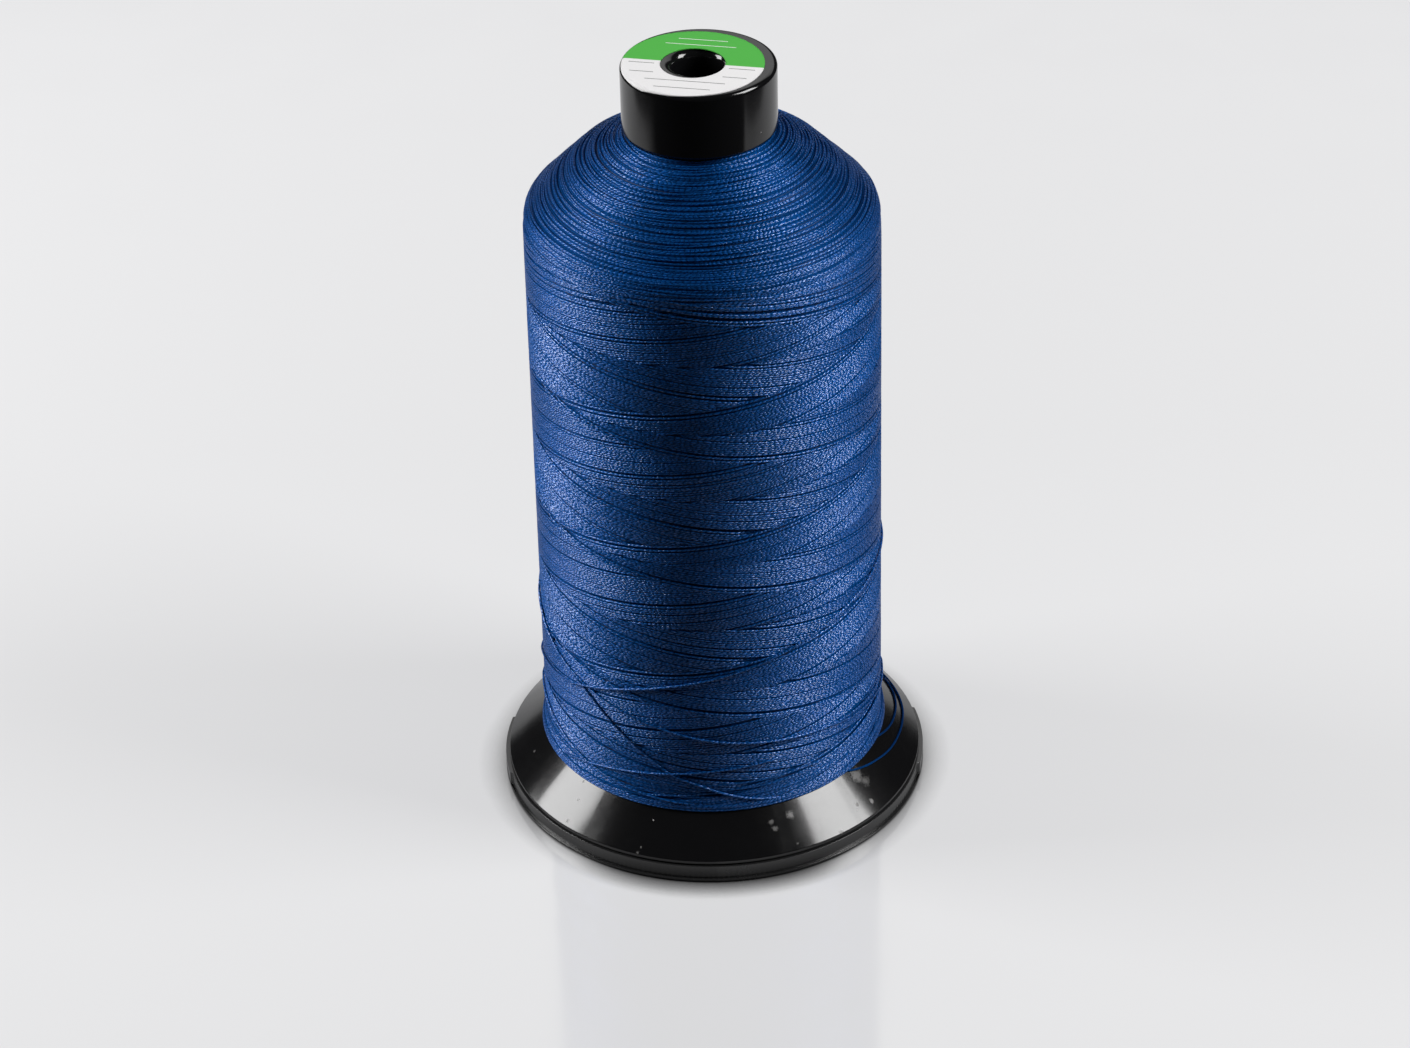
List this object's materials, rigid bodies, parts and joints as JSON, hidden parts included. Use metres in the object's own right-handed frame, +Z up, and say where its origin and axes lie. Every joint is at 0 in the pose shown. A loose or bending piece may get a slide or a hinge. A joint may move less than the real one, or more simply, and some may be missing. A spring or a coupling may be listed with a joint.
{
  "type": "thread spool",
  "caption": "Flanged thread spool with a clip-in sliding base, a capped hollow barrel for a spindle, a paper label and a cross-wound thread package.",
  "frame": {"origin": "on the spool's axis, at the level of the surface it stands on", "axes": "+Z up along the spool's axis, towards the label; +X towards the right-hand finger lug; -Y towards the front, where the label reads upright"},
  "size_m": [0.0844, 0.0844, 0.1558],
  "materials": {
    "barrel_plastic": "moulded, high gloss, black",
    "cap_plastic": "moulded, gloss, black",
    "base_plastic": "moulded, satin, black, ribbed rim",
    "label_paper": "smooth printed paper, green and white",
    "thread": "spun and twisted sewing thread, slight lustre, blue",
    "slack_thread": "spun and twisted sewing thread, slight lustre, blue"
  },
  "bodies": {
    "spool": {"spool_barrel": "barrel_plastic", "top_cap": "cap_plastic", "top_label": "label_paper", "thread_package": "thread", "outer_turns": "thread", "slack_turn_a": "slack_thread", "slack_turn_b": "slack_thread"},
    "base": {"snap_base": "base_plastic"}
  },
  "joints": [
    {"name": "base_release", "type": "slide", "parent": "spool", "child": "base", "axis": [0, 0, -1], "range_m": [0, 0.003]}
  ]
}
